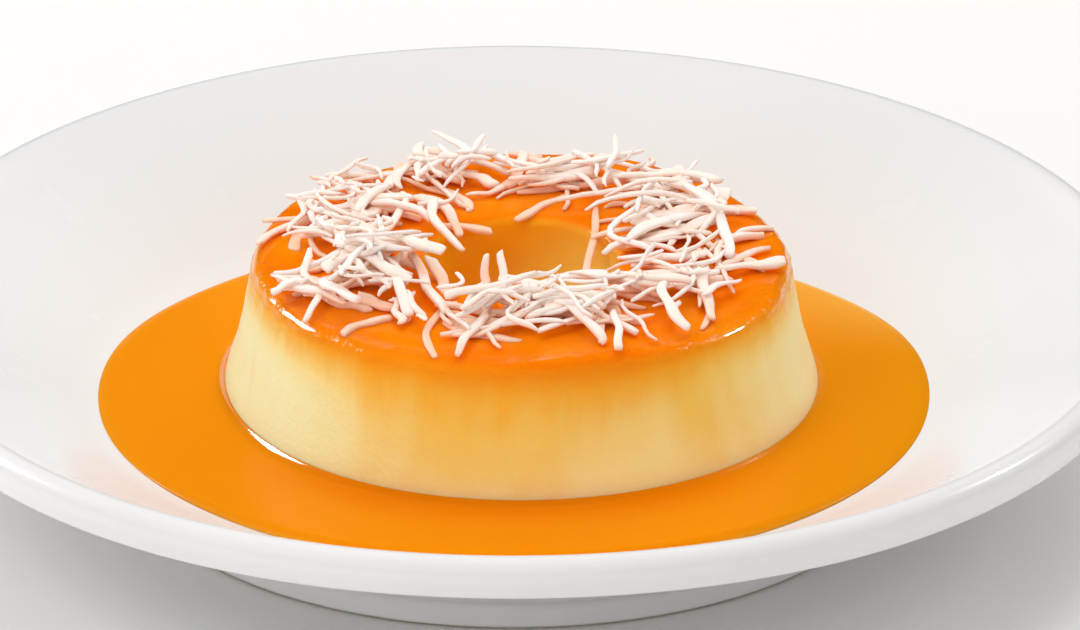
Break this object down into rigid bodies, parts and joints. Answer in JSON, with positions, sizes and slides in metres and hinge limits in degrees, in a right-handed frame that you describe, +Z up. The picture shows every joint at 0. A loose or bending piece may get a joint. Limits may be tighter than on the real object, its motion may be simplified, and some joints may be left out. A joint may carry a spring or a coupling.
{
  "type": "creme caramel flan on a plate",
  "caption": "Ring-shaped caramel flan topped with shredded coconut, standing in a pool of caramel sauce on a deep round white plate.",
  "frame": {"origin": "centre of the plate's foot, on the surface that the plate stands on", "axes": "+Z is up, along the plate's axis; -Y is the side that faces the viewer; +X is the viewer's right"},
  "size_m": [0.234, 0.234, 0.0467],
  "materials": {
    "porcelain": "glossy white glazed porcelain",
    "custard": "moist baked custard, caramel-soaked on top, under shredded white coconut",
    "caramel": "clear amber caramel sauce with a wet gloss"
  },
  "bodies": {
    "root": {"plate": "porcelain", "flan": "custard", "caramel_pool": "caramel", "caramel_well": "caramel"}
  },
  "joints": []
}
